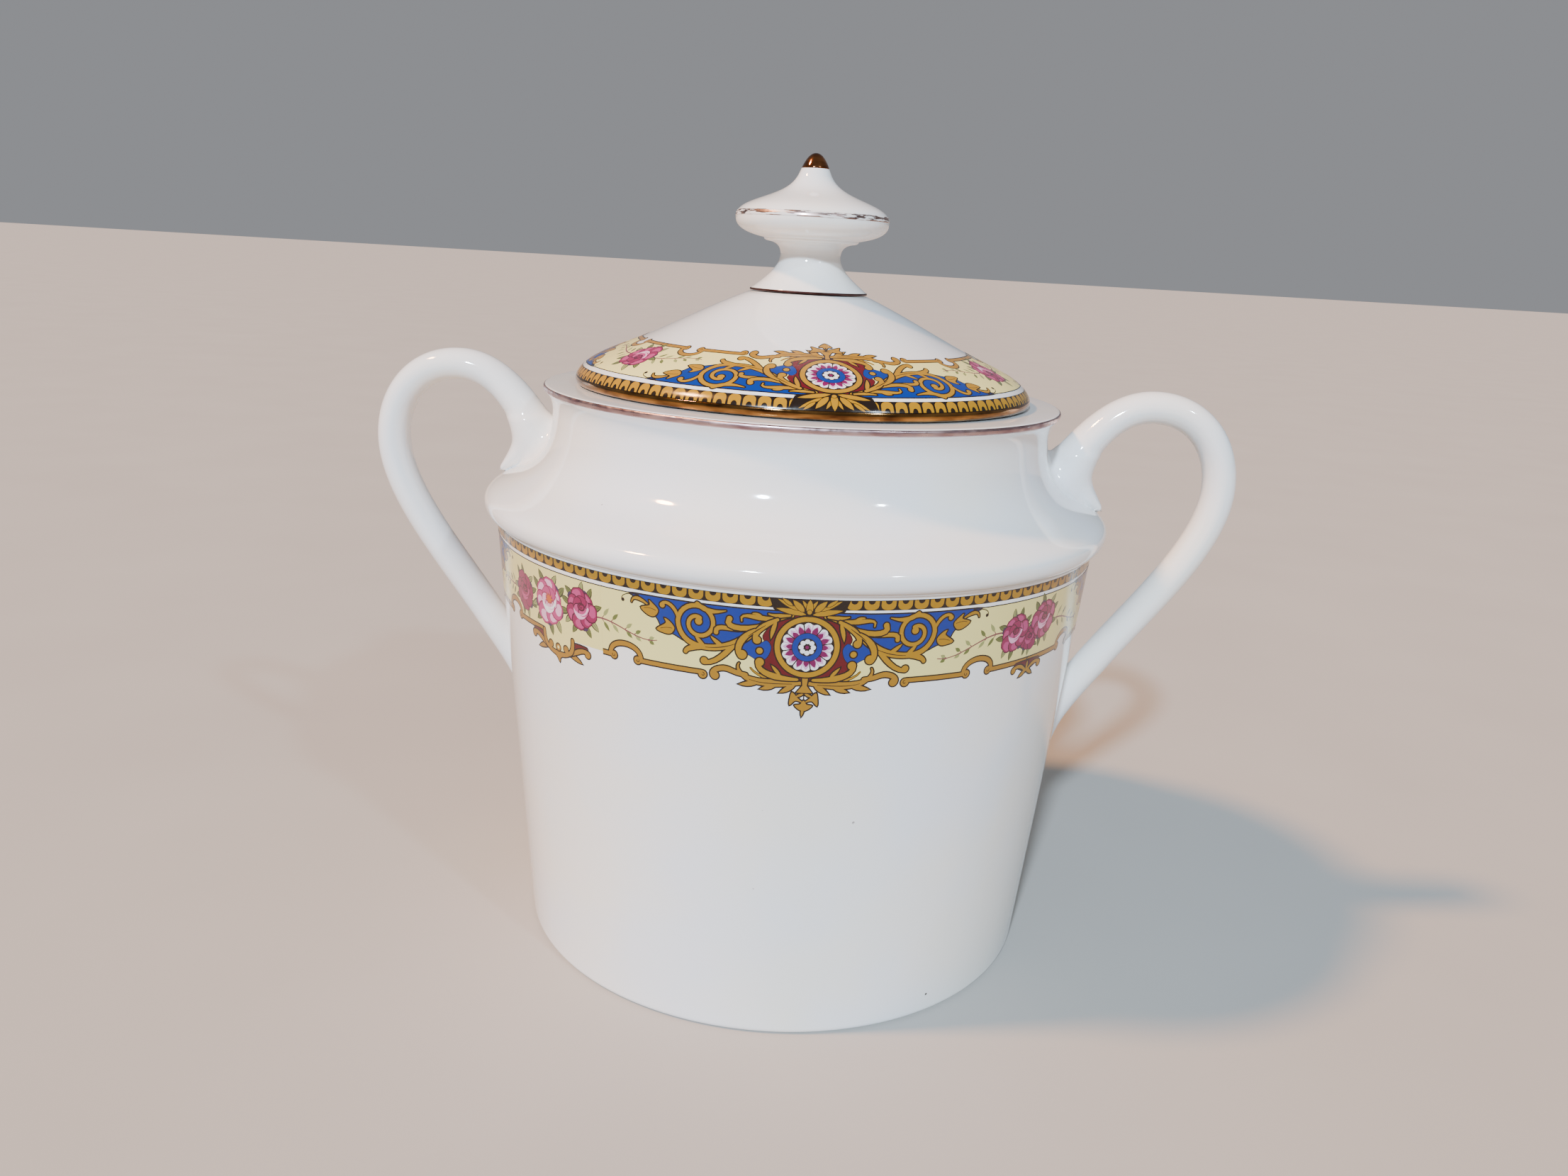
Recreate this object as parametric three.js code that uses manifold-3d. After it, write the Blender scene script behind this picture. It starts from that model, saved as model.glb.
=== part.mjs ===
// Lidded porcelain sugar bowl with two loop handles. Millimetres, +Z up.
// Origin: centre of the foot, on the surface that the bowl stands on. Handles lie along X.
// Five castings: bowl body, two handles, lid dome and lid knob.
import * as THREE from 'three';
import { mergeVertices } from 'three/addons/utils/BufferGeometryUtils.js';
import Module from 'manifold-3d';

// ---- driving dimensions -------------------------------------------------------------
const GAP = 0.3; // clearance between pieces that rest on or are stuck to each other
const WALL = 3.2; // cast porcelain wall

const FOOT = { r: 50.6, innerR: 45.5, recess: 1.4, edge: 1.2 };
const FLOOR_Z = 4.4; // top of the floor inside
const DRUM_TOP = { r: 57.15, z: 81.6 }; // where the tapered drum meets the shoulder
const SHOULDER = { r: 59.4, z: 84.9 }; // widest point of the shoulder bulge
const SHOULDER_END = { r: 55.5, z: 88.3 }; // bulge turns into the slope up to the neck
const NECK = { r: 47.0, z: 101.0 }; // narrowest point of the neck
const RIM = { r: 48.75, z: 106.3, lip: 1.5 };
const MOUTH_R = 39.5; // hole in the ledge that the lid rests on

const LID = { r: 42.8, seatZ: RIM.z + GAP, topZ: 124.5, seatInnerR: 39.2 };
const FLANGE = { r: 38.6, innerR: 36.0, bottomZ: 100.6 };

const KNOB = { baseR: 10.95, baseZ: LID.topZ + GAP, stemR: 5.6, discR: 14.2, discZ: 137.6, tipZ: 149.3 };

const LATHE_SIDES = { body: 48, lid: 48, knob: 24 };
const CURVE_STEPS = 4; // straight facets per curve of a turned outline

// ---- materials ----------------------------------------------------------------------
const porcelain = new THREE.MeshStandardMaterial({ color: 0xe9ebec, roughness: 0.08, metalness: 0 });
const decorated = new THREE.MeshStandardMaterial({ color: 0xe6e3d2, roughness: 0.1, metalness: 0 });

// ---- turned pieces ------------------------------------------------------------------
// An outline is a THREE.Path in the (radius, height) plane that starts and ends on the axis.
function turned(outline, sides, steps = CURVE_STEPS) {
  const geometry = new THREE.LatheGeometry(outline.getPoints(steps), sides);
  return geometry.rotateX(Math.PI / 2);
}

// The outside of the bowl from the foot's edge up to the rim, grown outwards by `offset`.
function bowlOutside(path, offset = 0) {
  path.lineTo(FOOT.r - FOOT.edge + offset, -offset);
  path.quadraticCurveTo(FOOT.r - 0.1 + offset, -offset, FOOT.r + offset, FOOT.edge);
  path.lineTo(DRUM_TOP.r + offset, DRUM_TOP.z);
  path.bezierCurveTo(
    DRUM_TOP.r + 0.1 + offset, DRUM_TOP.z + 0.9 - offset,
    SHOULDER.r + offset, SHOULDER.z - 2.5 - offset,
    SHOULDER.r + offset, SHOULDER.z,
  );
  path.bezierCurveTo(
    SHOULDER.r + offset, SHOULDER.z + 1.5 + offset,
    SHOULDER_END.r + 2.4 + offset, SHOULDER_END.z - 1.2 + offset,
    SHOULDER_END.r + offset, SHOULDER_END.z + offset,
  );
  path.bezierCurveTo(
    SHOULDER_END.r - 3.0 + offset, SHOULDER_END.z + 1.6 + offset,
    NECK.r + offset, NECK.z - 9.5 + offset,
    NECK.r + offset, NECK.z,
  );
  path.bezierCurveTo(
    NECK.r + offset, NECK.z + 1.8,
    RIM.r - 1.2 + offset, RIM.z - 2.3,
    RIM.r - 0.5 + offset, RIM.z - RIM.lip,
  );
}

function bowlBody() {
  const p = new THREE.Path();
  p.moveTo(0, FOOT.recess);
  p.lineTo(FOOT.innerR - FOOT.recess, FOOT.recess);
  p.lineTo(FOOT.innerR, 0);
  bowlOutside(p);
  // rolled lip, then the level ledge in to the mouth
  p.bezierCurveTo(RIM.r + 0.15, RIM.z - 0.8, RIM.r, RIM.z, RIM.r - 0.8, RIM.z);
  p.lineTo(MOUTH_R + 0.8, RIM.z);
  p.quadraticCurveTo(MOUTH_R, RIM.z, MOUTH_R, RIM.z - 0.8);
  // inside, one wall thickness in from the outside
  p.lineTo(MOUTH_R, RIM.z - 2.2);
  p.bezierCurveTo(MOUTH_R + 0.4, RIM.z - 3.6, NECK.r - WALL, RIM.z - 2.6, NECK.r - WALL, NECK.z - 0.6);
  const bulge = { r: SHOULDER.r - WALL - 1.0, z: SHOULDER.z - 1.5 };
  p.bezierCurveTo(
    NECK.r - WALL, NECK.z - 11.2,
    SHOULDER_END.r - WALL - 1.7, SHOULDER_END.z - 0.9,
    SHOULDER_END.r - WALL + 1.1, SHOULDER_END.z - 2.7,
  );
  p.bezierCurveTo(bulge.r - 0.6, bulge.z + 1.3, bulge.r, bulge.z + 0.8, bulge.r, bulge.z);
  p.bezierCurveTo(
    bulge.r, bulge.z - 1.0,
    DRUM_TOP.r - WALL + 0.1, DRUM_TOP.z + 0.2,
    DRUM_TOP.r - WALL - 0.1, DRUM_TOP.z - 1.6,
  );
  p.lineTo(FOOT.r - WALL + 0.6, FLOOR_Z + 6);
  p.bezierCurveTo(FOOT.r - WALL - 0.2, FLOOR_Z + 1.6, FOOT.r - WALL - 2.6, FLOOR_Z, FOOT.r - WALL - 8, FLOOR_Z);
  p.lineTo(0, FLOOR_Z);
  return turned(p, LATHE_SIDES.body);
}

function lidDome() {
  const p = new THREE.Path();
  // underside: hollow dome, then the flange that drops into the mouth
  p.moveTo(0, LID.topZ - WALL);
  p.lineTo(KNOB.baseR - 1.5, LID.topZ - WALL);
  p.bezierCurveTo(
    KNOB.baseR + 6, LID.topZ - WALL - 3.0,
    FLANGE.innerR - 5, LID.seatZ + 5.8,
    FLANGE.innerR, LID.seatZ + 2.6,
  );
  p.lineTo(FLANGE.innerR, FLANGE.bottomZ + 0.8);
  p.quadraticCurveTo(FLANGE.innerR, FLANGE.bottomZ, FLANGE.innerR + 1.3, FLANGE.bottomZ);
  p.quadraticCurveTo(FLANGE.r, FLANGE.bottomZ, FLANGE.r, FLANGE.bottomZ + 0.8);
  p.lineTo(FLANGE.r, LID.seatZ - 0.5);
  p.lineTo(LID.seatInnerR, LID.seatZ);
  // flat seat, turned-down edge and dome
  p.lineTo(LID.r - 0.5, LID.seatZ);
  p.quadraticCurveTo(LID.r, LID.seatZ, LID.r, LID.seatZ + 0.5);
  p.bezierCurveTo(LID.r + 0.1, LID.seatZ + 1.1, LID.r - 0.2, LID.seatZ + 2.0, LID.r - 1.2, LID.seatZ + 3.0);
  p.bezierCurveTo(
    LID.r - 3.6, LID.seatZ + 5.4,
    LID.r - 8.3, LID.seatZ + 6.7,
    LID.r - 14.3, LID.seatZ + 9.6,
  );
  p.bezierCurveTo(
    LID.r - 20.3, LID.seatZ + 12.5,
    KNOB.baseR + 5.5, LID.topZ - 2.2,
    KNOB.baseR, LID.topZ,
  );
  p.lineTo(0, LID.topZ);
  return turned(p, LATHE_SIDES.lid);
}

function lidKnob() {
  const { baseR, baseZ, stemR, discR, discZ, tipZ } = KNOB;
  const stemZ = 131.4;
  const bead = { r: 8.8, z: 134.2 }; // small step under the disc
  const shoulder = { r: 9.6, z: 141.2 }; // disc turns into the spire
  const spire = { r: 3.4, z: 145.3 };
  const p = new THREE.Path();
  p.moveTo(0, baseZ);
  p.lineTo(baseR, baseZ);
  p.lineTo(baseR, baseZ + 0.2);
  p.bezierCurveTo(baseR - 3.0, baseZ + 2.5, stemR, stemZ - 2.3, stemR, stemZ);
  p.bezierCurveTo(stemR, stemZ + 1.3, stemR + 0.8, bead.z - 0.8, bead.r - 1.1, bead.z - 0.6);
  p.quadraticCurveTo(bead.r, bead.z - 0.5, bead.r, bead.z);
  p.bezierCurveTo(discR - 1.6, bead.z + 0.7, discR, discZ - 1.7, discR, discZ);
  p.bezierCurveTo(discR, discZ + 1.8, shoulder.r + 2.6, shoulder.z - 1.0, shoulder.r, shoulder.z);
  p.bezierCurveTo(shoulder.r - 3.2, shoulder.z + 1.2, spire.r + 1.2, spire.z - 2.1, spire.r, spire.z);
  p.bezierCurveTo(spire.r - 0.8, spire.z + 1.5, spire.r - 1.2, tipZ, 0, tipZ);
  return turned(p, LATHE_SIDES.knob);
}

// ---- handles ------------------------------------------------------------------------
// Bends a unit cylinder along a curve in the XZ plane. `half(t)` gives the half thickness
// in that plane and the half width across it at t, from 0 at the start to 1 at the end.
function limb(curve, half, sides, steps) {
  const geometry = new THREE.CylinderGeometry(1, 1, 1, sides, steps);
  const position = geometry.attributes.position;
  const across = new THREE.Vector3(0, 1, 0);
  for (let i = 0; i < position.count; i += 1) {
    const t = position.getY(i) + 0.5;
    const [thick, wide] = half(t);
    const tangent = curve.getTangentAt(t);
    const normal = tangent.clone().cross(across);
    const point = curve.getPointAt(t);
    point.addScaledVector(normal, position.getX(i) * thick);
    point.addScaledVector(across, position.getZ(i) * wide);
    position.setXYZ(i, point.x, point.y, point.z);
  }
  return geometry;
}

function bezierChain(points) {
  const chain = new THREE.CurvePath();
  const at = ([x, z]) => new THREE.Vector3(x, 0, z);
  for (let i = 0; i + 3 < points.length; i += 3) {
    chain.add(new THREE.CubicBezierCurve3(...points.slice(i, i + 4).map(at)));
  }
  return chain;
}

const mix = THREE.MathUtils.lerp;
const rise = THREE.MathUtils.smoothstep;

// Loop of the right handle, from its root in the neck over the top and down to its tail.
const loopCurve = bezierChain([
  [48.9, 90.8], [53.2, 97.6], [57.6, 107.4], [66.9, 107.4],
  [75.2, 107.4], [80.5, 100.6], [80.5, 92.4],
  [80.5, 81.4], [69.6, 69.2], [61.6, 57.4],
  [57.8, 51.8], [54.2, 46.0], [51.6, 36.6],
]);

// Spur that runs from the root down over the shoulder and ends in a point.
const spurCurve = bezierChain([[53.2, 97.6], [52.8, 92.6], [54.8, 90.6], [58.6, 87.5]]);

function loopHalf(t) {
  const root = 1 - rise(t, 0, 0.18);
  const tail = rise(t, 0.8, 1);
  return [mix(mix(3.05, 3.9, root), 2.0, tail), mix(mix(3.7, 4.6, root), 2.2, tail)];
}

function spurHalf(t) {
  return [mix(3.4, 0.7, t ** 1.7), mix(4.4, 1.1, t ** 1.8)];
}

// ---- solids for the boolean steps ---------------------------------------------------
const wasm = await Module();
wasm.setup();

function toSolid(geometry) {
  const bare = geometry.clone();
  bare.deleteAttribute('normal');
  bare.deleteAttribute('uv');
  const merged = mergeVertices(bare);
  const index = merged.index.array;
  const triVerts = [];
  for (let i = 0; i < index.length; i += 3) {
    const [a, b, c] = [index[i], index[i + 1], index[i + 2]];
    if (a !== b && b !== c && c !== a) triVerts.push(a, b, c);
  }
  return new wasm.Manifold(new wasm.Mesh({
    numProp: 3,
    vertProperties: new Float32Array(merged.attributes.position.array),
    triVerts: new Uint32Array(triVerts),
  }));
}

function toGeometry(solid) {
  const mesh = solid.getMesh();
  const geometry = new THREE.BufferGeometry();
  geometry.setAttribute('position', new THREE.BufferAttribute(mesh.vertProperties, 3));
  geometry.setIndex(new THREE.BufferAttribute(mesh.triVerts, 1));
  return geometry;
}

// The handle's castings are cut to the outside of the bowl, less the slip's thickness.
function handle(side) {
  const bowlBlank = new THREE.Path();
  bowlBlank.moveTo(0, -GAP);
  bowlOutside(bowlBlank, GAP);
  bowlBlank.lineTo(0, RIM.z - RIM.lip);
  const blank = toSolid(turned(bowlBlank, LATHE_SIDES.body));
  const loop = toSolid(limb(loopCurve, loopHalf, 12, 36));
  const spur = toSolid(limb(spurCurve, spurHalf, 12, 6));
  const right = loop.add(spur).subtract(blank);
  const solid = side > 0 ? right : right.rotate([0, 0, 180]);
  return toGeometry(solid);
}

// ---- assembly -----------------------------------------------------------------------
function piece(name, geometry, material) {
  const mesh = new THREE.Mesh(geometry, material);
  mesh.name = name;
  return mesh;
}

const bowl = new THREE.Group();
bowl.add(
  piece('bowl_body', bowlBody(), decorated),
  piece('handle_left', handle(-1), porcelain),
  piece('handle_right', handle(1), porcelain),
);

const lid = new THREE.Group();
lid.add(
  piece('lid_dome', lidDome(), decorated),
  piece('lid_knob', lidKnob(), porcelain),
);

const sugarBowl = new THREE.Group();
sugarBowl.add(bowl, lid);

export default sugarBowl;
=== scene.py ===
import math

import bpy
import numpy as np
from mathutils import Matrix, Vector
from mathutils.geometry import delaunay_2d_cdt


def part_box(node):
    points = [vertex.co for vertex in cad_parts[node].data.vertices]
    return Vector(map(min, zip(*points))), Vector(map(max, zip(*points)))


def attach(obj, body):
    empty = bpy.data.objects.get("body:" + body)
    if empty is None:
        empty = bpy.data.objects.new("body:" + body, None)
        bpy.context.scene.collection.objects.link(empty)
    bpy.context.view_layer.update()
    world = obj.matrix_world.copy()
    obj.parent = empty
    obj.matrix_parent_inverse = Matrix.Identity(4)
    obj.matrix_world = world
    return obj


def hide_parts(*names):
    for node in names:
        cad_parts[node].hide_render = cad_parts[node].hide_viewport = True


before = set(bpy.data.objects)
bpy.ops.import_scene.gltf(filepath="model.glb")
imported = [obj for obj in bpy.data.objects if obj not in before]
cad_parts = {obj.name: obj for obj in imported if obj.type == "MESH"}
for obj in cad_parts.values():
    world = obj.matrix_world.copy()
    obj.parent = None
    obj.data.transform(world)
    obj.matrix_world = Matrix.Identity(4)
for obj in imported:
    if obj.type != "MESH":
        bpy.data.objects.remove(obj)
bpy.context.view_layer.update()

# Lidded porcelain sugar bowl with a printed enamel border and gilt lines.
# Lengths below are millimetres, and to_metres() turns them into Blender's metres at the end.
# An outline is (radius, height). Border art is (x, y) on the unrolled surface: x runs round
# the bowl to the right, y towards the gilt edge, and (0, 0) is a medallion's centre.

MM = 0.001


# ---- sizes taken from the frame ----
def box_mm(node):
    low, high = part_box(node)
    return np.array(low) / MM, np.array(high) / MM


BODY_LOW, BODY_HIGH = box_mm("bowl_body")
LID_LOW, LID_HIGH = box_mm("lid_dome")
KNOB_LOW, KNOB_HIGH = box_mm("lid_knob")

RIM_Z = BODY_HIGH[2]
SHOULDER_R = BODY_HIGH[0]
GAP = KNOB_LOW[2] - LID_HIGH[2]  # between castings that rest on each other
WALL = 3.2
FLOOR_Z = 4.4  # inside the bowl
FOOT_R, FOOT_EDGE = SHOULDER_R - 8.8, 1.2
FOOT_INNER_R, FOOT_RECESS = SHOULDER_R - 13.9, 1.4
LIP = 1.5  # height of the rim's rolled lip
MOUTH = np.array([SHOULDER_R - 19.9, RIM_Z])
FLANGE_R, FLANGE_INNER_R, FLANGE_Z = 38.6, 36.0, LID_LOW[2]
SEAT_INNER_R = 39.2  # the ring that the lid rests on, out to its edge

# Points (radius, height) that the outsides run through.
DRUM_TOP = np.array([SHOULDER_R - 2.25, RIM_Z - 24.7])
SHOULDER = np.array([SHOULDER_R, RIM_Z - 21.4])
SHOULDER_END = np.array([SHOULDER_R - 3.9, RIM_Z - 18.0])
NECK = np.array([SHOULDER_R - 12.4, RIM_Z - 5.3])
RIM = np.array([SHOULDER_R - 10.65, RIM_Z])
LID_EDGE = np.array([SHOULDER_R - 16.6, RIM_Z + GAP])
LID_TOP = np.array([10.95, LID_HIGH[2]])
KNOB_BASE = np.array([10.95, KNOB_LOW[2]])
KNOB_DISC = np.array([KNOB_HIGH[0], KNOB_HIGH[2] - 11.7])
KNOB_FOOT = 0.2  # height of the knob's rounded bottom edge

SIDES = 256  # facets round a turned piece
STEPS = 14  # facets along one curve of an outline


# ---- outlines ----
def cubic(p0, p1, p2, p3, steps=STEPS):
    """Points along a cubic Bezier curve, without its first point."""
    t = np.linspace(0, 1, steps + 1)[1:, None]
    p0, p1, p2, p3 = (np.array(p, float) for p in (p0, p1, p2, p3))
    return (1 - t) ** 3 * p0 + 3 * (1 - t) ** 2 * t * p1 + 3 * (1 - t) * t**2 * p2 + t**3 * p3


def along(line):
    """Distance from the start of a line to each of its points."""
    return np.r_[0, np.cumsum(np.hypot(*np.diff(line, axis=0).T))]


class Outline:
    """A line of points that grows by straight and curved pieces."""

    def __init__(self, *start):
        self.points = [np.array(start, float)]

    def line(self, *end):
        self.points.append(np.array(end, float))
        return self

    def quad(self, control, end, steps=6):
        start = self.points[-1]
        control, end = np.array(control, float), np.array(end, float)
        first = start + (control - start) * 2 / 3
        second = end + (control - end) * 2 / 3
        self.points.extend(cubic(start, first, second, end, steps))
        return self

    def cubic(self, *nodes, steps=STEPS):
        """Adds a cubic curve for every three nodes, and each ends on its third."""
        for i in range(0, len(nodes), 3):
            self.points.extend(cubic(self.points[-1], *nodes[i : i + 3], steps))
        return self

    def array(self):
        return np.array(self.points)


def spine(*nodes, steps=8):
    """A smooth line through every third node, drawn by the two nodes in between."""
    return Outline(*nodes[0]).cubic(*nodes[1:], steps=steps).array()


def drum_and_neck(path):
    """The bowl's outside, from the foot's edge up to just under the rim."""
    path.quad((FOOT_R - 0.1, 0), (FOOT_R, FOOT_EDGE))
    path.line(*DRUM_TOP)
    path.cubic(DRUM_TOP + (0.1, 0.9), SHOULDER - (0, 2.5), SHOULDER)
    path.cubic(SHOULDER + (0, 1.5), SHOULDER_END + (2.4, -1.2), SHOULDER_END)
    path.cubic(SHOULDER_END + (-3.0, 1.6), NECK - (0, 9.5), NECK)
    path.cubic(NECK + (0, 1.8), RIM - (1.2, 2.3), RIM - (0.5, LIP))
    return path


def rolled_lip(path):
    return path.cubic(RIM + (0.15, -0.8), RIM, RIM - (0.8, 0))


def bowl_side():
    return drum_and_neck(Outline(FOOT_R - FOOT_EDGE, 0))


def bowl_outline():
    p = Outline(0, FOOT_RECESS)
    p.line(FOOT_INNER_R - FOOT_RECESS, FOOT_RECESS)
    p.quad((FOOT_INNER_R - 0.5, FOOT_RECESS), (FOOT_INNER_R, 0.4))
    p.quad((FOOT_INNER_R + 0.1, 0), (FOOT_INNER_R + 0.6, 0))
    p.line(FOOT_R - FOOT_EDGE, 0)
    rolled_lip(drum_and_neck(p))
    p.line(*MOUTH + (0.8, 0))
    p.quad(MOUTH, MOUTH - (0, 0.8))
    p.line(*MOUTH - (0, 2.2))
    neck_in = NECK - (WALL, 0)
    p.cubic(MOUTH + (0.4, -3.6), (neck_in[0], RIM_Z - 2.6), neck_in - (0, 0.6))
    slope_in = SHOULDER_END - (WALL, 0)
    p.cubic(neck_in - (0, 11.2), slope_in - (1.7, 0.9), slope_in + (1.1, -2.7))
    bulge = SHOULDER - (WALL + 1.0, 1.5)
    p.cubic(bulge + (-0.6, 1.3), bulge + (0, 0.8), bulge)
    drum_in = DRUM_TOP - (WALL, 0)
    p.cubic(bulge - (0, 1.0), drum_in + (0.1, 0.2), drum_in - (0.1, 1.6))
    corner = np.array([FOOT_R - WALL, FLOOR_Z])
    p.line(*corner + (0.6, 6))
    p.cubic(corner + (-0.2, 1.6), corner - (2.6, 0), corner - (8, 0))
    p.line(0, FLOOR_Z)
    return p.array()


def lid_top(path):
    """The lid's outside, from its turned-down edge up to the knob."""
    path.quad(LID_EDGE, LID_EDGE + (0, 0.5))
    path.cubic(LID_EDGE + (0.1, 1.1), LID_EDGE + (-0.2, 2.0), LID_EDGE + (-1.2, 3.0))
    path.cubic(LID_EDGE + (-3.6, 5.4), LID_EDGE + (-8.3, 6.7), LID_EDGE + (-14.3, 9.6))
    path.cubic(LID_EDGE + (-20.3, 12.5), LID_TOP + (5.5, -2.2), LID_TOP)
    return path


def lid_outline():
    inner, outer = np.array([FLANGE_INNER_R, FLANGE_Z]), np.array([FLANGE_R, FLANGE_Z])
    seat_z = LID_EDGE[1]
    p = Outline(0, LID_TOP[1] - WALL)
    p.line(*LID_TOP - (1.5, WALL))
    p.cubic(LID_TOP + (6, -WALL - 3.0), (inner[0] - 5, seat_z + 5.8), (inner[0], seat_z + 2.6))
    p.line(*inner + (0, 0.8))
    p.quad(inner, inner + (1.3, 0))
    p.quad(outer, outer + (0, 0.8))
    p.line(FLANGE_R, seat_z - 0.9)
    p.quad((FLANGE_R, seat_z), (SEAT_INNER_R + 0.3, seat_z))
    p.line(*LID_EDGE - (0.5, 0))
    lid_top(p)
    p.line(0, LID_TOP[1])
    return p.array()


def knob_side(path):
    """The knob's outside, from its foot on the lid up to the tip."""
    disc, tip_z = KNOB_DISC, KNOB_HIGH[2]
    stem, bead = np.array([5.6, disc[1] - 6.2]), np.array([8.8, disc[1] - 3.4])
    shoulder, spire = np.array([9.6, disc[1] + 3.6]), np.array([3.15, disc[1] + 7.7])
    path.cubic(KNOB_BASE + (-3.0, 2.5), stem - (0, 2.3), stem)
    path.cubic(stem + (0, 1.3), (stem[0] + 0.8, bead[1] - 0.8), bead - (1.1, 0.6))
    path.quad(bead - (0, 0.5), bead)
    path.cubic((disc[0] - 1.6, bead[1] + 0.7), disc - (0, 1.7), disc)
    path.cubic(disc + (0, 1.8), shoulder + (2.6, -1.0), shoulder)
    path.cubic(shoulder + (-3.2, 1.2), spire + (1.2, -2.1), spire)
    path.cubic(spire + (-0.8, 1.6), (spire[0] - 1.55, tip_z), (0, tip_z))
    return path


def knob_outline():
    p = Outline(0, KNOB_BASE[1])
    p.line(*KNOB_BASE - (0.1, 0))
    p.quad(KNOB_BASE, KNOB_BASE + (0, KNOB_FOOT))
    return knob_side(p).array()


# ---- meshes ----
def to_metres(points):
    return np.asarray(points, float) * MM


def new_piece(name, points, faces, materials, face_slots=None, smooth=True):
    mesh = bpy.data.meshes.new(name)
    mesh.from_pydata(to_metres(points).tolist(), [], [list(map(int, f)) for f in faces])
    for material in materials:
        mesh.materials.append(material)
    if face_slots is not None:
        mesh.polygons.foreach_set("material_index", np.asarray(face_slots, np.int32))
    mesh.polygons.foreach_set("use_smooth", np.full(len(mesh.polygons), smooth))
    mesh.update()
    piece = bpy.data.objects.new(name, mesh)
    bpy.context.scene.collection.objects.link(piece)
    return piece


def turned(name, outline, material, closed=False, sides=SIDES):
    """Turns an outline round Z. It starts and ends on the axis, or closes on itself."""
    angles = 2 * np.pi * np.arange(sides) / sides
    points, rows = [], []
    for r, z in outline:
        if r < 1e-6:
            rows.append([len(points)] * sides)
            points.append((0, 0, z))
        else:
            rows.append(list(range(len(points), len(points) + sides)))
            points.extend(zip(r * np.cos(angles), r * np.sin(angles), np.full(sides, z)))
    if closed:
        rows.append(rows[0])
    faces = []
    for low, high in zip(rows, rows[1:]):
        for i in range(sides):
            j = (i + 1) % sides
            corners = [low[i], low[j], high[j], high[i]]
            face = [c for k, c in enumerate(corners) if c not in corners[:k]]
            if len(face) > 2:
                faces.append(face)
    return new_piece(name, points, faces, [material])


# ---- node materials ----
def linear(rgb):
    """Linear colour from the usual 0 to 255 numbers."""
    c = np.array(rgb, float) / 255
    low, high = c / 12.92, ((c + 0.055) / 1.055) ** 2.4
    return (*np.where(c <= 0.04045, low, high), 1.0)


class Nodes:
    """A Principled material with its nodes, made in a few words."""

    def __init__(self, name):
        self.material = bpy.data.materials.new(name)
        self.material.use_nodes = True
        self.tree = self.material.node_tree
        self.shader = self.tree.nodes["Principled BSDF"]
        coordinates = self.tree.nodes.new("ShaderNodeTexCoord")
        self.place = coordinates.outputs["Object"]

    def set(self, **values):
        for name, value in values.items():
            self.shader.inputs[name.replace("_", " ")].default_value = value
        return self

    def link(self, out, target):
        self.tree.links.new(out, self.shader.inputs[target] if isinstance(target, str) else target)

    def noise(self, size_mm, detail=2.0, stretch=None):
        node = self.tree.nodes.new("ShaderNodeTexNoise")
        node.inputs["Scale"].default_value = 1 / (size_mm * MM)
        node.inputs["Detail"].default_value = detail
        place = self.place
        if stretch:
            mapping = self.tree.nodes.new("ShaderNodeMapping")
            mapping.inputs["Scale"].default_value = stretch
            self.link(place, mapping.inputs["Vector"])
            place = mapping.outputs["Vector"]
        self.link(place, node.inputs["Vector"])
        return node.outputs["Fac"]

    def remap(self, value, low, high, to_low, to_high):
        node = self.tree.nodes.new("ShaderNodeMapRange")
        numbers = {"From Min": low, "From Max": high, "To Min": to_low, "To Max": to_high}
        for name, number in numbers.items():
            node.inputs[name].default_value = number
        self.link(value, node.inputs["Value"])
        return node.outputs["Result"]

    def drift(self, size_mm, low, high, **noise):
        """A value that drifts between low and high, in patches of one size."""
        return self.remap(self.noise(size_mm, **noise), 0.3, 0.7, low, high)

    def mix(self, share, first, second):
        node = self.tree.nodes.new("ShaderNodeMix")
        node.data_type = "RGBA"
        self.link(share, node.inputs["Factor"])
        for colour, socket in ((first, node.inputs["A"]), (second, node.inputs["B"])):
            if isinstance(colour, bpy.types.NodeSocket):
                self.link(colour, socket)
            else:
                socket.default_value = colour
        return node.outputs["Result"]

    def multiply(self, first, second):
        node = self.tree.nodes.new("ShaderNodeMath")
        node.operation = "MULTIPLY"
        self.link(first, node.inputs[0])
        self.link(second, node.inputs[1])
        return node.outputs["Value"]

    def bump(self, height, depth_mm, strength=1.0):
        node = self.tree.nodes.new("ShaderNodeBump")
        node.inputs["Strength"].default_value = strength
        node.inputs["Distance"].default_value = depth_mm * MM
        self.link(height, node.inputs["Height"])
        self.link(node.outputs["Normal"], "Normal")


def porcelain_material():
    """White body under a clear gloss glaze that is not quite even, with a few iron specks."""
    n = Nodes("porcelain_glaze").set(IOR=1.52, Coat_Weight=0.35, Coat_Roughness=0.02, Coat_IOR=1.5)
    cool, warm, speck = (linear(rgb) for rgb in ((233, 237, 240), (240, 238, 230), (70, 56, 50)))
    body = n.mix(n.remap(n.noise(28), 0.35, 0.65, 0, 1), cool, warm)
    cells = n.tree.nodes.new("ShaderNodeTexVoronoi")
    cells.inputs["Scale"].default_value = 1 / (9 * MM)
    n.link(n.place, cells.inputs["Vector"])
    near = n.remap(cells.outputs["Distance"], 0.02, 0.034, 1, 0)
    chosen = n.remap(n.noise(16, detail=0), 0.57, 0.59, 0, 1)
    n.link(n.mix(n.multiply(near, chosen), body, speck), "Base Color")
    n.link(n.drift(6, 0.05, 0.1), "Roughness")
    n.bump(n.noise(11, detail=1.5), 0.05, strength=0.35)
    return n.material


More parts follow.
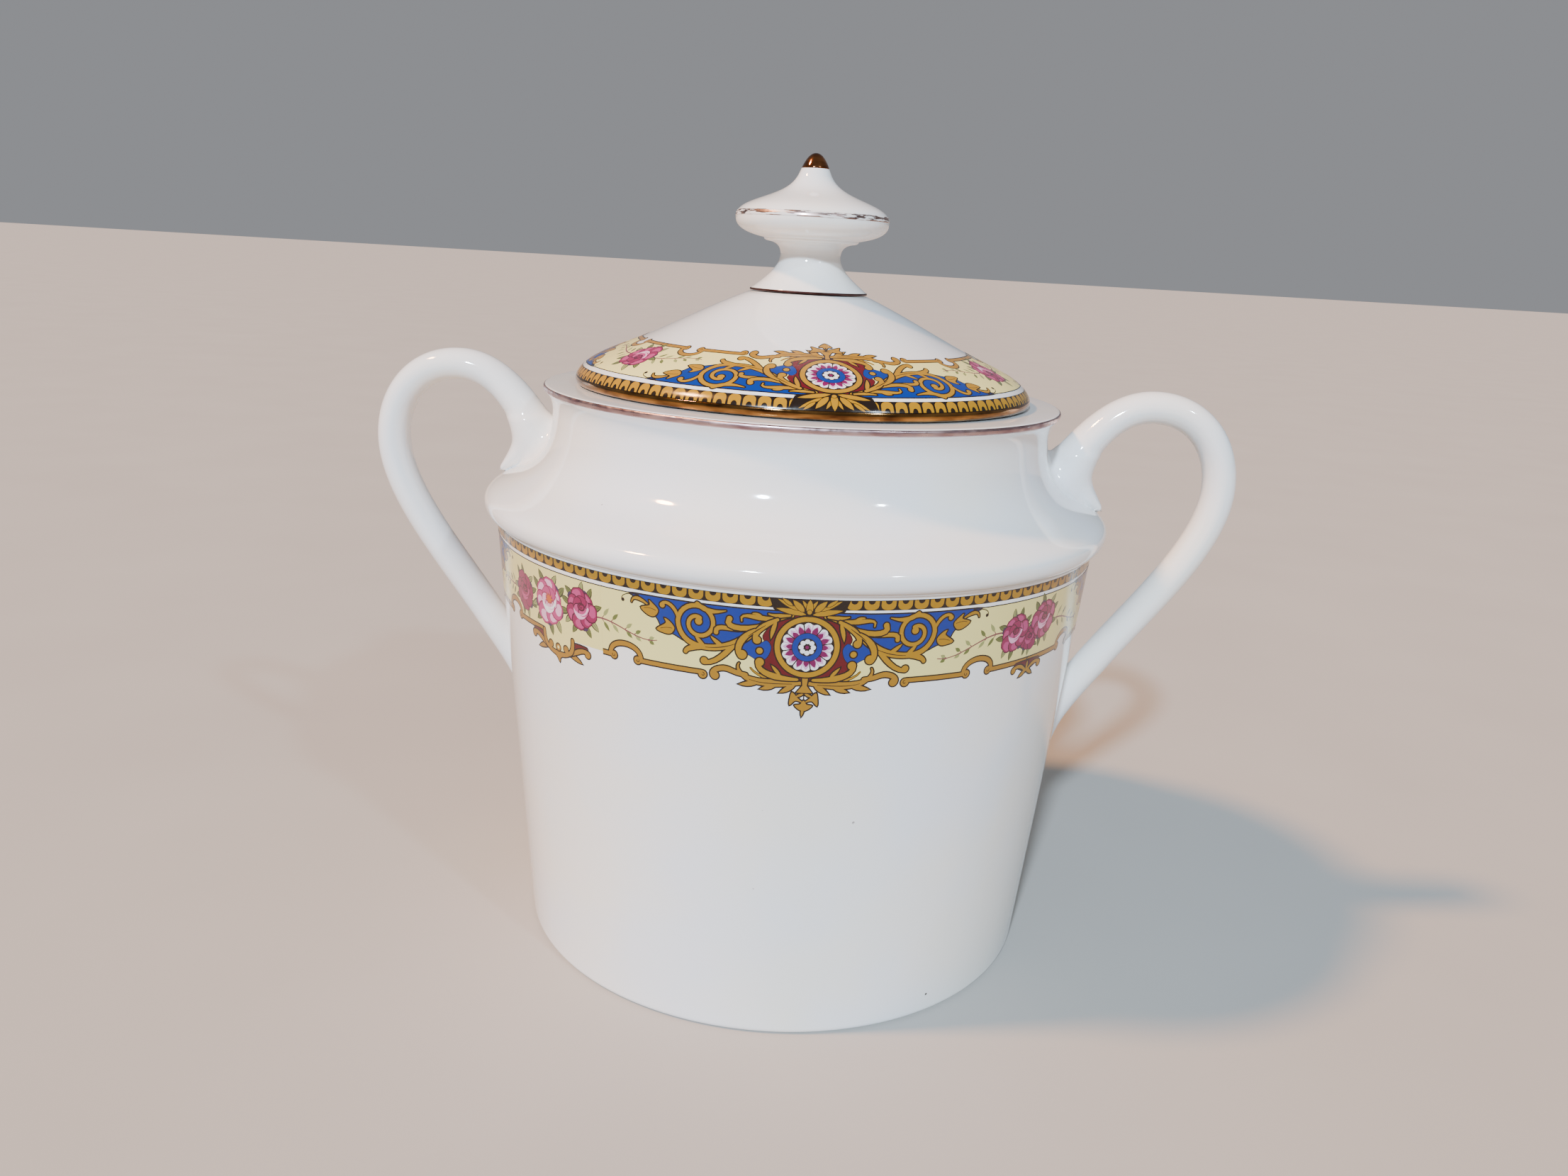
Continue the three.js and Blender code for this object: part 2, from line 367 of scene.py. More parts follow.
def enamel_material(name, rgb):
    """One fired enamel colour under the glaze's shine."""
    n = Nodes("enamel_" + name).set(IOR=1.5, Base_Color=linear(rgb))
    n.link(n.drift(1.6, 0.12, 0.224), "Roughness")
    n.bump(n.noise(0.9), 0.012, strength=0.5)
    return n.material


WORN_THROUGH = (226, 224, 220)  # glaze that shows where the gold is gone


def gilding_material(name, wear, bright, dark, rough=0.14):
    """Burnished gold, rubbed through to the glaze where it is worn."""
    n = Nodes("gilding_" + name).set(IOR=1.5)
    # The gold drifts in vertical streaks between a dark and a bright tone: uneven gold, and on the
    # burnished edge also painted reflection, dark and bright, of its surroundings.
    tone = n.mix(n.drift(5, 0, 1, stretch=(1, 1, 4)), linear(dark), linear(bright))
    bare = 0.85 - 1.3 * wear
    share = n.remap(n.noise(3.2, detail=8, stretch=(1, 1, 9)), bare, bare + 0.05, 0, 1)
    n.link(n.mix(share, tone, linear(WORN_THROUGH)), "Base Color")
    n.link(n.remap(share, 0, 1, 1, 0), "Metallic")
    n.link(n.drift(1.5, rough * 0.65, rough * 1.4), "Roughness")
    n.bump(n.noise(2.5), 0.02, strength=0.4)
    return n.material


PORCELAIN = porcelain_material()

# ---- turned porcelain ----
bowl = turned("bowl_porcelain", bowl_outline(), PORCELAIN)
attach(bowl, "bowl")
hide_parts("bowl_body")

lid = turned("lid_porcelain", lid_outline(), PORCELAIN)
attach(lid, "lid")
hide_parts("lid_dome")

knob = turned("knob_porcelain", knob_outline(), PORCELAIN, sides=128)
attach(knob, "lid")
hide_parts("lid_knob")


# ---- handles ----
# A handle is one skin round a bent limb and its spur, that runs out onto the bowl in a fillet.
LOOP = [
    (48.9, 90.8), (53.2, 97.6), (57.6, 107.4), (66.9, 107.4),
    (75.2, 107.4), (80.5, 100.6), (80.5, 92.4),
    (80.5, 81.4), (69.6, 69.2), (61.6, 57.4),
    (57.8, 51.8), (54.2, 46.0), (51.6, 36.6),
]
SPUR = [(53.2, 97.6), (52.8, 92.6), (54.8, 90.6), (58.6, 87.5)]
HANDLE_LOW, HANDLE_HIGH = box_mm("handle_right")
SUNK = 0.15  # how far the fillet's edge lies under the glaze
BURIED = 1.2  # how far the skin goes on into the wall
CROTCH = 2.2  # fillet between the loop and the spur
FILLET = 3.0  # between the handle and the bowl
SPUR_FILLET = 0.2  # the same at the spur's tip, growing to FILLET over SPUR_FADE
SPUR_FADE = (1.5, 8.0)  # distances from the spur's tip
REACH = FILLET + 0.5  # how far from the limbs the skin may spread
ROOM_LOW, ROOM_HIGH = (5, 4.5, 4), (1.2, 4.5, 1.2)  # round the CAD handle, for the fillets
CELL = 0.45  # size of the handle mesh's quads
SAMPLES = 300  # points along a limb's centre line
BATCH = 20000  # points measured at a time, to spare memory


def smooth_step(t, low, high):
    s = np.clip((t - low) / (high - low), 0, 1)
    return s * s * (3 - 2 * s)


def loop_half(t):
    root, tail = 1 - smooth_step(t, 0, 0.18), smooth_step(t, 0.8, 1)
    thick = (3.05 + 0.85 * root) * (1 - tail) + 2.0 * tail
    wide = (3.7 + 0.9 * root) * (1 - tail) + 2.2 * tail
    return thick, wide


def spur_half(t):
    thick = 3.4 - 2.7 * t**1.7
    wide = 4.4 - 3.3 * t**1.8
    return thick, wide


class Limb:
    """A curve in the XZ plane with an oval section, as a distance."""

    def __init__(self, nodes, half):
        line = spine(*nodes, steps=120)
        length = along(line)
        even = np.linspace(0, length[-1], SAMPLES)
        self.centre = np.stack([np.interp(even, length, line[:, k]) for k in range(2)], -1)
        tangent = np.gradient(self.centre, axis=0)
        self.tangent = tangent / np.linalg.norm(tangent, axis=1)[:, None]
        self.thick, self.wide = half(even / length[-1])
        self.pitch = even[1]

    def distance(self, points):
        flat = points[:, [0, 2]]
        nearest = np.empty(len(points), int)
        for i in range(0, len(points), BATCH):
            part = flat[i : i + BATCH, None] - self.centre
            nearest[i : i + BATCH] = (part**2).sum(-1).argmin(1)
        offset = flat - self.centre[nearest]
        tangent = self.tangent[nearest]
        along = (offset * tangent).sum(-1)
        across = offset[:, 0] * -tangent[:, 1] + offset[:, 1] * tangent[:, 0]
        side = points[:, 1]
        reach = np.hypot(across, side) + 1e-9
        oval = np.hypot(across / self.thick[nearest], side / self.wide[nearest]) + 1e-9
        gap = reach * (1 - 1 / oval)
        past = np.maximum(np.abs(along) - self.pitch, 0)
        return np.where(past > 0, np.hypot(np.maximum(gap, 0), past) + np.minimum(gap, 0), gap)


def outside_distance(points, line):
    """Signed distance from the bowl's outside, positive outside it."""
    where = np.stack([np.hypot(points[:, 0], points[:, 1]), points[:, 2]], -1)
    best = np.full(len(where), 1e9)
    sign = np.ones(len(where))
    for a, b in zip(line, line[1:]):
        edge = b - a
        t = np.clip(((where - a) @ edge) / (edge @ edge), 0, 1)
        off = where - a - t[:, None] * edge
        d = (off**2).sum(-1)
        turn = off[:, 0] * edge[1] - off[:, 1] * edge[0]
        closer = d < best - 1e-12
        best = np.where(closer, d, best)
        sign = np.where(closer, np.sign(turn), sign)
    return np.sqrt(best) * sign


def blended(a, b, k):
    """The lower of two distances, with a fillet about k wide where they cross."""
    h = np.maximum(k - np.abs(a - b), 0) / k
    return np.minimum(a, b) - h * h * k / 4


LOOP_LIMB, SPUR_LIMB = Limb(LOOP, loop_half), Limb(SPUR, spur_half)
OUTSIDE = bowl_side().array()


def handle_field(points):
    """Negative inside the handle's skin."""
    limbs = blended(LOOP_LIMB.distance(points), SPUR_LIMB.distance(points), CROTCH)
    wall = outside_distance(points, OUTSIDE[::2])
    from_tip = np.linalg.norm(points - (SPUR[-1][0], 0, SPUR[-1][1]), axis=1)
    fillet = SPUR_FILLET + (FILLET - SPUR_FILLET) * smooth_step(from_tip, *SPUR_FADE)
    skin = blended(limbs, wall + SUNK, fillet)
    return np.maximum(np.maximum(skin, -wall - BURIED), limbs - REACH)


def surface_net(field, low, high, cell):
    """Quads on the surface where field is zero."""
    counts = [int(math.ceil((h - l) / cell)) + 1 for l, h in zip(low, high)]
    axes = [low[k] + cell * np.arange(counts[k]) for k in range(3)]
    grid = np.stack(np.meshgrid(*axes, indexing="ij"), -1)
    value = field(grid.reshape(-1, 3)).reshape(counts)
    inside = value < 0
    cells = [c - 1 for c in counts]
    total, hits = np.zeros((*cells, 3)), np.zeros(cells)
    crossings = []
    for k in range(3):
        first, second = [slice(None)] * 3, [slice(None)] * 3
        first[k], second[k] = slice(None, -1), slice(1, None)
        first, second = tuple(first), tuple(second)
        crossed = inside[first] != inside[second]
        change = np.where(crossed, value[first] - value[second], 1)
        point = grid[first] + (value[first] / change)[..., None] * (grid[second] - grid[first])
        point = np.where(crossed[..., None], point, 0)
        a, b = (axis for axis in range(3) if axis != k)
        for da, db in ((0, 0), (0, 1), (1, 0), (1, 1)):
            take = [slice(None)] * 3
            take[a], take[b] = slice(da, cells[a] + da), slice(db, cells[b] + db)
            total += point[tuple(take)]
            hits += crossed[tuple(take)]
        crossings.append((k, (a, b), crossed, inside[first]))
    used = hits > 0
    index = np.full(cells, -1)
    index[used] = np.arange(used.sum())
    vertices = total[used] / hits[used][:, None]
    quads = []
    for k, (a, b), crossed, starts_inside in crossings:
        i = np.argwhere(crossed)
        keep = (i[:, a] > 0) & (i[:, b] > 0) & (i[:, a] < cells[a]) & (i[:, b] < cells[b])
        i = i[keep]
        flip = starts_inside[tuple(i.T)] ^ (k == 1)
        corners = []
        for da, db in ((1, 1), (0, 1), (0, 0), (1, 0)):
            c = i.copy()
            c[:, [a, b]] -= (da, db)
            corners.append(index[tuple(c.T)])
        corners = np.stack(corners, -1)
        corners[~flip] = corners[~flip][:, ::-1]
        quads.append(corners)
    return vertices, np.concatenate(quads)


def settle(points, field, rounds=4, reach=0.2):
    """Moves points straight onto the surface where field is zero."""
    step = 0.02
    for _ in range(rounds):
        value = field(points)
        slope = np.stack(
            [(field(points + d) - field(points - d)) / (2 * step) for d in np.eye(3) * step], -1
        )
        move = -value[:, None] * slope / np.maximum((slope**2).sum(-1), 0.05)[:, None]
        length = np.linalg.norm(move, axis=1)[:, None]
        points = points + move * np.minimum(1, reach / np.maximum(length, 1e-9))
    return points


def handle_mesh():
    low, high = HANDLE_LOW - ROOM_LOW, HANDLE_HIGH + ROOM_HIGH
    points, quads = surface_net(handle_field, low, high, CELL)
    return settle(points, handle_field), quads


handle_points, handle_quads = handle_mesh()
for side, name in ((1, "right"), (-1, "left")):
    turned_points = handle_points * np.array([side, side, 1])
    handle = new_piece("handle_skin_" + name, turned_points, handle_quads, [PORCELAIN])
    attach(handle, "bowl")
    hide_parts("handle_" + name)

# ---- border art: shapes ----
# A shape is a function that takes an extra width and returns one closed loop of points.
LINE = 0.23  # width of the dark outline
ENAMELS = {
    "ink": (26, 17, 11),
    "ochre": (164, 120, 10),
    "buff": (158, 114, 24),
    "cobalt": (2, 46, 132),
    "maroon": (92, 8, 20),
    "cream": (234, 224, 142),
    "white": (236, 236, 236),
    "magenta": (112, 10, 74),
    "lilac": (208, 160, 196),
    "rose_deep": (74, 6, 40),
    "rose": (138, 20, 76),
    "rose_mid": (180, 62, 118),
    "rose_pale": (230, 172, 200),
    "rose_heart": (196, 98, 34),
    "leaf_dark": (52, 56, 34),
    "leaf": (98, 108, 54),
    "leaf_pale": (146, 152, 92),
    "stem": (116, 62, 70),
    "violet": (60, 38, 74),
}
BARE = "bare"  # no enamel: the white glaze shows


def coil(centre, start_r, end_r, start_deg, turn_deg, steps=26):
    t = np.linspace(0, 1, steps + 1)
    angle = np.radians(start_deg + turn_deg * t)
    r = start_r + (end_r - start_r) * t
    return np.array(centre) + np.stack([r * np.cos(angle), r * np.sin(angle)], -1)


def limb(line, *half_widths):
    """A stroke along a line, with round ends, whose half width changes evenly along it."""
    line = np.asarray(line, float)
    length = along(line)
    tangent = np.gradient(line, length, axis=0)
    tangent /= np.linalg.norm(tangent, axis=1)[:, None]
    normal = np.stack([-tangent[:, 1], tangent[:, 0]], -1)
    width = np.interp(length / length[-1], np.linspace(0, 1, len(half_widths)), half_widths)

    def cap(i, sign, r):
        turns = np.radians([60, 30, 0, -30, -60] if r > 0.2 else [0])[:, None]
        return line[i] + sign * r * (np.cos(turns) * tangent[i] + np.sin(turns) * normal[i])

    def shape(extra=0):
        w = (width + extra)[:, None]
        end, start = cap(-1, 1, w[-1, 0]), cap(0, -1, w[0, 0])
        return np.concatenate([line + normal * w, end, (line - normal * w)[::-1], start])

    return shape


def grown(loop, extra):
    """A loop moved outwards by extra, with its sharp corners kept short."""
    if not extra:
        return loop
    ahead = np.roll(loop, -1, 0) - loop
    area = (loop[:, 0] * np.roll(loop[:, 1], -1) - np.roll(loop[:, 0], -1) * loop[:, 1]).sum()
    out = np.stack([ahead[:, 1], -ahead[:, 0]], -1) * np.sign(area)
    out /= np.maximum(np.linalg.norm(out, axis=1), 1e-9)[:, None]
    both = out + np.roll(out, 1, 0)
    size = np.maximum(np.linalg.norm(both, axis=1), 1e-9)[:, None]
    return loop + both / size * np.minimum(2 / size, 2.0) * extra


def loop_shape(points):
    points = np.asarray(points, float)
    return lambda extra=0: grown(points, extra)


def blob(*points, steps=4):
    """A smooth closed loop through a few points."""
    p = np.array(points, float)
    before, after, beyond = np.roll(p, 1, 0), np.roll(p, -1, 0), np.roll(p, -2, 0)
    corners = zip(before, p, after, beyond)
    pieces = [cubic(b, b + (c - a) / 6, c - (d - b) / 6, c, steps) for a, b, c, d in corners]
    return loop_shape(np.concatenate(pieces))


def leaf(base, tip, left, right, steps=6):
    """A pointed leaf, whose two sides bulge by left and right."""
    base, tip = np.array(base, float), np.array(tip, float)
    axis = tip - base
    across = np.array([-axis[1], axis[0]]) / np.hypot(*axis)
    near, far = base + axis * 0.2, base + axis * 0.7
    up, down = across * left, across * right
    one = cubic(base, near + up * 1.3, far + up, tip, steps)
    two = cubic(tip, far - down, near - down * 1.3, base, steps)
    return loop_shape(np.concatenate([one, two]))


def turned_point(centre, r, degrees):
    return centre + r * np.array([math.cos(math.radians(degrees)), math.sin(math.radians(degrees))])


def disc(centre, r, steps=24, tall=1.0):
    angle = 2 * np.pi * np.arange(steps) / steps
    unit = np.stack([np.cos(angle), tall * np.sin(angle)], -1)
    return lambda extra=0: np.array(centre) + (r + extra) * unit


def rectangle(x0, y0, x1, y1):
    return loop_shape([(x0, y0), (x1, y0), (x1, y1), (x0, y1)])


def mirrored(shape):
    return lambda extra=0: (shape(extra) * (-1, 1))[::-1]


def both_sides(shapes):
    return [s for shape in shapes for s in (shape, mirrored(shape))]


def curl(*nodes, widths=(0.3, 0.5, 0.4), ball=0.6, inward=1):
    """A limb that ends in a ball turned to one side of its tip."""
    line = spine(*nodes)
    last = line[-1] - line[-2]
    last /= np.hypot(*last)
    side = np.array([-last[1], last[0]]) * inward
    return [limb(line, *widths), disc(line[-1] + side * (ball - widths[-1]), ball, steps=16)]


class Art:
    """Coloured loops in the order they are painted, round a place x along the border."""

    def __init__(self):
        self.layers = []
        self.x = 0.0

    def fill(self, colour, *shapes):
        for shape in shapes:
            self.layers.append((colour, shape(0) + (self.x, 0)))

    def draw(self, colour, shapes, ink=LINE):
        """Shapes of one colour in a dark outline."""
        self.fill("ink", *[lambda extra, s=s: s(ink) for s in shapes])
        self.fill(colour, *shapes)

    def pair(self, colour, shapes, ink=LINE):
        """The same, with a mirror image of each on the left."""
        self.draw(colour, both_sides(shapes), ink)


# ---- border art: the medallion and its wings, right half where it is mirrored ----
def blue_wing():
    return blob(
        (3.4, 5.55), (10, 5.6), (20, 5.6), (28.2, 5.55), (28.6, 5.3), (26.6, 4.7), (25.2, 3.4),
        (24.0, 2.0), (23.2, 0.6), (21.2, 0.0), (19.2, -0.9), (16.5, -1.5), (13.2, -1.2), (10.6, 0.2),
        (8.2, 2.2), (5.4, 4.0), steps=3,
    )


def scroll_groups():
    """The main stem that winds into a coil, then the leaves over it, from the lowest up."""
    stem = spine(
        (2.6, 5.1), (5.4, 4.7), (7.4, 2.9), (9.5, 1.0), (11.4, -0.6), (13.8, -1.5), (16.6, -1.4),
        (18.9, -1.3), (20.5, 0.2), (20.6, 2.4),
    )
    return [
        [
            limb(stem, 0.28, 0.58, 0.46, 0.36),
            limb(coil((17.25, 2.4), 3.35, 1.0, 0, 470, steps=34), 0.36, 0.34, 0.31, 0.3),
            disc((17.15, 2.75), 0.58, steps=16),
            leaf((12.9, -1.1), (15.2, 0.6), 0.25, 0.5),
            leaf((15.9, -1.5), (17.8, 0.5), 0.25, 0.5),
            limb(spine((17.4, 5.6), (15.9, 4.4), (14.6, 4.5), (12.8, 5.0)), 0.34, 0.36, 0.06),
            limb(spine((16.9, -1.6), (18.4, -1.7), (19.1, -2.1), (19.3, -2.6)), 0.3, 0.42, 0.32),
            *curl((10.2, 0.6), (11.8, -0.6), (13.6, -3.9), (16.1, -4.0), widths=(0.26, 0.42, 0.32),
                ball=0.6),
            *curl((20.5, 2.6), (20.9, 4.6), (22.6, 5.6), (23.4, 4.7), widths=(0.22, 0.28, 0.22),
                ball=0.44, inward=-1),
            limb(spine((25.9, 4.2), (27.0, 4.9), (28.6, 5.4), (28.8, 4.1)), 0.12, 0.28, 0.08),
        ],
        [limb(spine((9.4, 2.3), (11.4, 1.7), (14.6, 3.0), (14.3, 1.3)), 0.18, 0.32, 0.36)],
        [limb(spine((5.0, 4.1), (8.6, 1.9), (13.4, 1.9), (12.2, 3.8)), 0.26, 0.38, 0.44)],
        [
            limb(spine((4.6, 4.6), (7.0, 3.7), (11.0, 5.6), (10.3, 3.6)), 0.2, 0.4, 0.1),
            limb(spine((7.2, 4.3), (7.5, 4.9), (8.0, 5.1), (8.6, 5.0)), 0.3, 0.1),
        ],
        [limb(spine((2.9, 5.1), (4.0, 5.0), (5.0, 4.8), (6.2, 5.15)), 0.16, 0.3, 0.08)],
    ]


def buds():
    return [
        blob((21.2, 1.0), (22.0, 2.0), (22.9, 2.4), (22.7, 1.6), (24.3, 0.4), (22.9, -0.1),
            (21.8, 0.0)),
        blob((24.0, 3.5), (25.1, 4.6), (25.6, 4.9), (25.5, 4.1), (27.1, 3.5), (25.9, 2.5), (24.7, 2.4)),
    ]


def ear_limbs():
    """Small curls that hold the ring at its sides."""
    return [
        *curl((4.8, 4.3), (6.6, 3.4), (8.4, 2.2), (8.1, 0.7), widths=(0.25, 0.46, 0.34), ball=0.62,
            inward=-1),
        leaf((4.9, 4.1), (5.7, 1.0), 0.5, 0.25),
        *curl((8.2, 2.2), (10.4, 1.1), (11.2, -1.0), (10.4, -2.1), widths=(0.3, 0.5, 0.4), ball=0.75,
            inward=-1),
        *curl((1.2, -5.5), (4.6, -5.5), (7.6, -4.8), (7.6, -3.0), widths=(0.2, 0.5, 0.34), ball=0.68),
        leaf((3.9, -5.0), (5.4, -3.3), 0.3, 0.3),
    ]


def acanthus_limbs():
    """The leaf under the ring, with three lobes and a scroll that reaches to the bar."""
    edge = spine(
        (0.5, -6.1), (4.4, -6.3), (8.4, -6.8), (10.1, -5.2), (10.8, -4.4), (10.8, -3.8), (10.5, -3.4)
    )
    return [
        limb(edge, 0.25, 0.62, 0.5, 0.1),
        leaf((1.4, -6.0), (4.0, -7.9), 0.3, 0.7),
        leaf((4.2, -6.0), (7.1, -7.5), 0.2, 0.8),
        leaf((7.0, -5.9), (10.5, -7.0), 0.2, 0.8),
        *curl((9.4, -5.3), (11.4, -5.2), (11.8, -4.5), (13.0, -4.55), (14.5, -4.7), (15.1, -5.6),
            (14.6, -6.1), widths=(0.35, 0.42, 0.4), ball=0.66, inward=-1),
    ]


def finial_shapes(short):
    """The tuft that hangs from the ring, between its leaves."""
    corners = (-0.45, -5.2), (0.45, -5.2), (0.35, -6.5), (1.25, -7.7), (-1.25, -7.7), (-0.35, -6.5)
    stem = loop_shape(corners)
    if short:
        lobes = [blob((0.2, -8.1), (1.6, -7.6), (3.3, -7.5), (2.8, -8.3), (3.1, -9.1), (1.6, -8.6))]
        drop = blob((0, -8.5), (0.6, -9.1), (1.4, -9.2), (0, -10.3), (-1.4, -9.2), (-0.6, -9.1))
        return [stem, *both_sides(lobes), drop]
    lobes = [
        blob((0.15, -9.4), (1.0, -8.6), (1.9, -7.7), (2.2, -8.7), (2.2, -9.9), (1.3, -9.1)),
        leaf((0.1, -7.9), (1.4, -8.5), 0.25, 0.2),
    ]
    drop = blob(
        (0, -9.0), (0.5, -9.7), (1.4, -9.9), (0.7, -10.6), (0, -10.8), (-0.7, -10.6), (-1.4, -9.9),
        (-0.5, -9.7),
    )
    return [stem, *both_sides(lobes), drop, leaf((0, -10.2), (-0.2, -11.8), 0.25, 0.25)]


RING = {"gold": 5.05, "well": 4.25, "scallop": 3.62, "petals": 3.0, "blue": 2.32, "heart": 1.5}
PETALS = 16


def paint_ring(art):
    """The gold ring, and in it a rosette of petals round a blue disc with a white flower."""
    art.draw("ochre", [disc((0, 0), RING["gold"], steps=56)])
    art.fill("ink", disc((0, 0), RING["well"], steps=48))
    angle = np.linspace(0, 2 * np.pi, 128, endpoint=False)
    r = RING["scallop"] + 0.42 * np.abs(np.cos(PETALS / 2 * angle)) ** 0.7
    art.fill("white", loop_shape(np.stack([r * np.cos(angle), r * np.sin(angle)], -1)))
    art.fill("magenta", disc((0, 0), RING["petals"], steps=32))
    for i in range(PETALS):
        out = turned_point(0, 1, 360 / PETALS * i)
        art.fill("lilac", leaf(out * 1.9, out * 3.85, 0.6, 0.6, steps=4))
        art.fill("magenta", leaf(out * 1.7, out * (3.65 if i % 2 else 3.35), 0.58, 0.58, steps=4))
    for i in range(PETALS):
        out = turned_point(0, 1, 360 / PETALS * (i + 0.5))
        art.fill("lilac" if i % 2 else "ink", limb([out * 2.3, out * 3.75], 0.08, 0.1))
    art.draw("cobalt", [disc((0, 0), RING["blue"], steps=36)], ink=0.1)
    art.fill("ink", disc((0, 0), RING["heart"], steps=28))
    for i in range(8):
        art.fill("white", disc(turned_point(0, 0.95, 45 * i), 0.4, steps=12))
    art.fill("magenta", disc((0, 0), 0.3, steps=12))


def paint_palmette(art, low, high):
    """A fan of leaves over the chain, on a dark ground."""
    ground = Outline(-6.2, high).line(-5.5, low + 0.7).quad((-3, low - 0.3), (0, low - 0.3))
    ground.quad((3, low - 0.3), (5.5, low + 0.7)).line(6.2, high)
    art.fill("ink", loop_shape(ground.array()))
    tall = high - low
    fan = (
        ((0.5, 0.03), (5.1, 0.34), 0.5), ((1.7, 0.28), (4.9, 0.93), 0.34),
        ((2.6, 0.55), (4.2, 0.98), 0.3), ((0.8, 0.2), (2.6, 0.9), 0.55),
        ((0.1, 0.3), (1.15, 0.9), 0.3),
    )
    for (x0, y0), (x1, y1), bulge in fan:
        blade = leaf((x0, low + y0 * tall), (x1, low + y1 * tall), bulge, bulge, steps=5)
        art.pair("ochre", [blade], ink=0.09)
    art.draw("ochre", [leaf((0, low + 0.1), (0, high - 0.06), 0.6, 0.6)], ink=0.09)
    art.draw("ochre", [disc((0, low + 0.5), 0.36, steps=12)], ink=0.09)


def paint_medallion(art, x, chain, short_finial):
    art.x = x
    art.pair("cobalt", [blue_wing()])
    crescent = blob(
        (1.5, 5.4), (3.6, 4.7), (5.5, 3.4), (6.9, 1.5), (6.3, 0), (6.3, -1.6), (7.1, -3.0),
        (5.4, -4.5), (3.2, -5.4), (0.8, -5.7), (0, 0),
    )
    lobe = blob(
        (5.6, -0.4), (6.3, 0.7), (7.4, 0.2), (8.6, 0.7), (9.8, -0.2), (10.0, -1.4), (8.8, -2.0),
        (7.4, -2.7), (6.2, -2.1),
    )
    art.pair("maroon", [crescent], ink=0.12)
    art.pair("cobalt", [lobe], ink=0.1)
    art.pair("ochre", [disc((7.35, -1.05), 0.5, steps=16)])
    blade = limb(spine((0.8, -6.0), (4.2, -6.1), (7.6, -5.6), (8.7, -4.0)), 0.1, 0.26, 0.06)
    art.pair("ochre", [blade], ink=0.12)
    art.pair("buff", acanthus_limbs())
    for group in scroll_groups():
        art.pair("ochre", group)
    art.pair("ochre", buds())
    art.pair("ochre", ear_limbs())
    veins = [
        limb(spine((6.6, 3.2), (7.6, 2.5), (8.4, 1.9), (9.2, 1.2)), 0.04, 0.09, 0.04),
        limb(spine((11.0, -0.2), (12.6, -1.0), (14.4, -1.4), (16.0, -1.4)), 0.04, 0.08, 0.04),
        limb(spine((21.6, 0.9), (22.4, 1.0), (23.0, 0.8), (23.6, 0.6)), 0.05, 0.04),
        limb(spine((24.4, 3.4), (25.2, 3.7), (25.9, 3.7), (26.5, 3.5)), 0.05, 0.04),
        limb(spine((2.0, -6.3), (4.4, -6.4), (7.2, -6.6), (8.8, -6.0)), 0.05, 0.07, 0.04),
    ]
    art.fill("ink", *both_sides(veins))
    tip_nodes = (27.4, 5.45), (29.2, 5.5), (30.8, 5.2), (30.7, 4.2)
    tip_curl = curl(*tip_nodes, widths=(0.09, 0.08, 0.08), ball=0.32, inward=-1)
    art.fill("ink", *both_sides(tip_curl))
    art.draw("buff", finial_shapes(short_finial))
    art.fill("ink", limb([(0, -7.8), (0, -9.0)], 0.1, 0.2, 0.1))
    paint_ring(art)
    paint_palmette(art, 5.3, chain)
    art.x = 0


# ---- border art: chain, field and bar ----
def paint_ground(art, x0, x1, style):
    """The cream field and the chain along the gilt edge, from x0 to x1."""
    chain_low, chain_high, bar = style["chain_low"], style["chain_high"], style["bar"]
    art.fill("cream", rectangle(x0, bar, x1, 5.6))
    art.fill("ink", rectangle(x0, 5.46, x1, 5.63))
    art.fill("ink", rectangle(x0, chain_low, x1, chain_high))
    pitch, crown, root = style["pitch"], chain_high - 0.08, chain_low + 0.06
    for k in range(math.floor(x0 / pitch), math.ceil(x1 / pitch) + 1):
        x, half = (k + 0.5) * pitch, pitch / 2 - 0.17
        tooth = Outline(x - half, crown).line(x - half, root + 0.75)
        tooth.quad((x - half + 0.1, root), (x, root), steps=4)
        tooth.quad((x + half - 0.1, root), (x + half, root + 0.75), steps=4)
        art.fill("ochre", loop_shape(tooth.line(x + half, crown).array()))
        wide, deep = 0.21 * pitch, crown - 1.3 * 0.4 * (crown - root)
        corners = (x - wide, chain_high), (x - wide, deep), (x + wide, deep), (x + wide, chain_high)
        art.fill("ink", loop_shape(spine(*corners)))


def paint_bar(art, x, end, style):
    """The bar that closes the field below, from the scroll at a medallion x to x + end."""
    bar, arch = style["bar"], style["arch"]
    way = 1 if end > 0 else -1
    at = lambda shape: (lambda extra=0: shape(extra) * (way, 1) + (x, 0))
    left, right = arch[0] + 0.3, arch[1] - 0.3
    top = bar + style["rise"]
    curve = spine((left, bar + 0.1), (left - 0.2, top), (right + 0.2, top), (right, bar + 0.1),
        steps=16)
    under_scroll = (9.5, -5.6), (13, -4.6), (15.2, -5.2), (16.2, bar + 0.1), (16.2, -8), (0, -8)
    art.fill(BARE, at(loop_shape(np.vstack([curve, [(right, bar - 1), (left, bar - 1)]]))))
    art.fill(BARE, at(loop_shape(under_scroll)))
    shapes = [
        limb([(16.6, bar), (left + 0.3, bar)], 0.34),
        disc((16.4, bar - 0.36), 0.68, steps=16),
        disc((left + 0.65, bar - 0.05), 0.66, steps=16),
        disc((right - 0.65, bar - 0.05), 0.66, steps=16),
        limb(curve, 0.36, 0.4, 0.36),
        limb([(right, bar), (abs(end), bar)], 0.34),
    ]
    art.draw("buff", [at(s) for s in shapes])
    for centre, start, turn in (
        ((16.4, bar - 0.36), 90, 250),
        ((left + 0.65, bar - 0.05), 150, 250),
        ((right - 0.65, bar - 0.05), 30, -250),
    ):
        art.fill("ink", at(limb(coil(centre, 0.36, 0.12, start, turn, steps=8), 0.06)))


